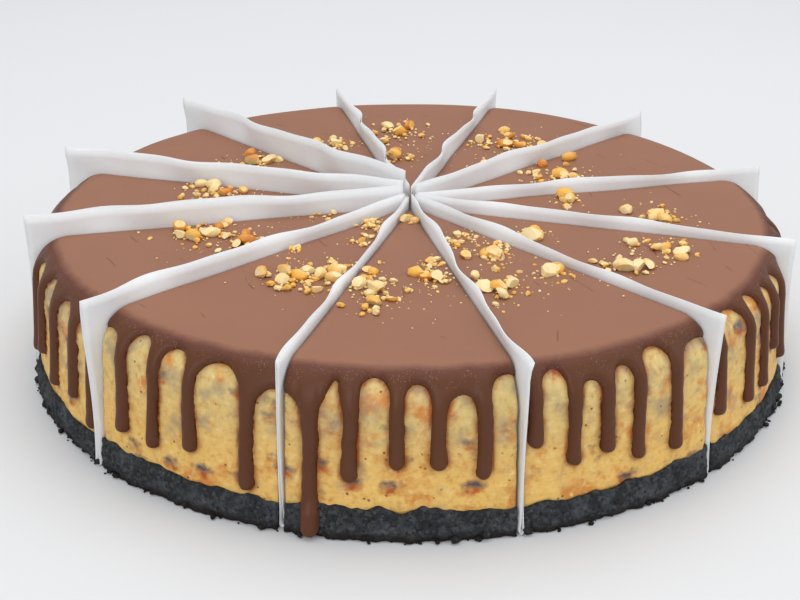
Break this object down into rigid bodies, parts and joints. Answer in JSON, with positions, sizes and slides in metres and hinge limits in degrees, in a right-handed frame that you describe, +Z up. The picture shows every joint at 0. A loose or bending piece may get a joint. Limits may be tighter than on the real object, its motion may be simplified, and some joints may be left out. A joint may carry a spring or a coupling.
{
  "type": "cheesecake",
  "caption": "Round baked cheesecake cut into wedges with folded papers between them, a dark biscuit base, and a chocolate coat that drips down the side and carries chopped nuts.",
  "frame": {"origin": "centre of the cake's round footprint, on the plane it stands on", "axes": "+Z up through the middle where the cuts meet, -Y towards the camera through the middle of the front portion, +X to the camera's right"},
  "size_m": [0.2366, 0.2366, 0.056],
  "materials": {
    "biscuit": "dry, crumbly, blue-black",
    "filling": "baked, pale yellow, with browned specks and small pits",
    "chocolate": "set, satin, milk-brown on top and darker on the side",
    "paper": "thin, white, slightly see-through"
  },
  "bodies": {
    "root": {"base_00": "biscuit", "base_01": "biscuit", "base_02": "biscuit", "base_03": "biscuit", "base_04": "biscuit", "base_05": "biscuit", "base_06": "biscuit", "base_07": "biscuit", "base_08": "biscuit", "base_09": "biscuit", "base_10": "biscuit", "base_11": "biscuit", "filling_00": "filling", "filling_01": "filling", "filling_02": "filling", "filling_03": "filling", "filling_04": "filling", "filling_05": "filling", "filling_06": "filling", "filling_07": "filling", "filling_08": "filling", "filling_09": "filling", "filling_10": "filling", "filling_11": "filling", "coat_00": "chocolate", "coat_01": "chocolate", "coat_02": "chocolate", "coat_03": "chocolate", "coat_04": "chocolate", "coat_05": "chocolate", "coat_06": "chocolate", "coat_07": "chocolate", "coat_08": "chocolate", "coat_09": "chocolate", "coat_10": "chocolate", "coat_11": "chocolate", "paper_00": "paper", "paper_01": "paper", "paper_02": "paper", "paper_03": "paper", "paper_04": "paper", "paper_05": "paper", "paper_06": "paper", "paper_07": "paper", "paper_08": "paper", "paper_09": "paper", "paper_10": "paper", "paper_11": "paper"}
  },
  "joints": []
}
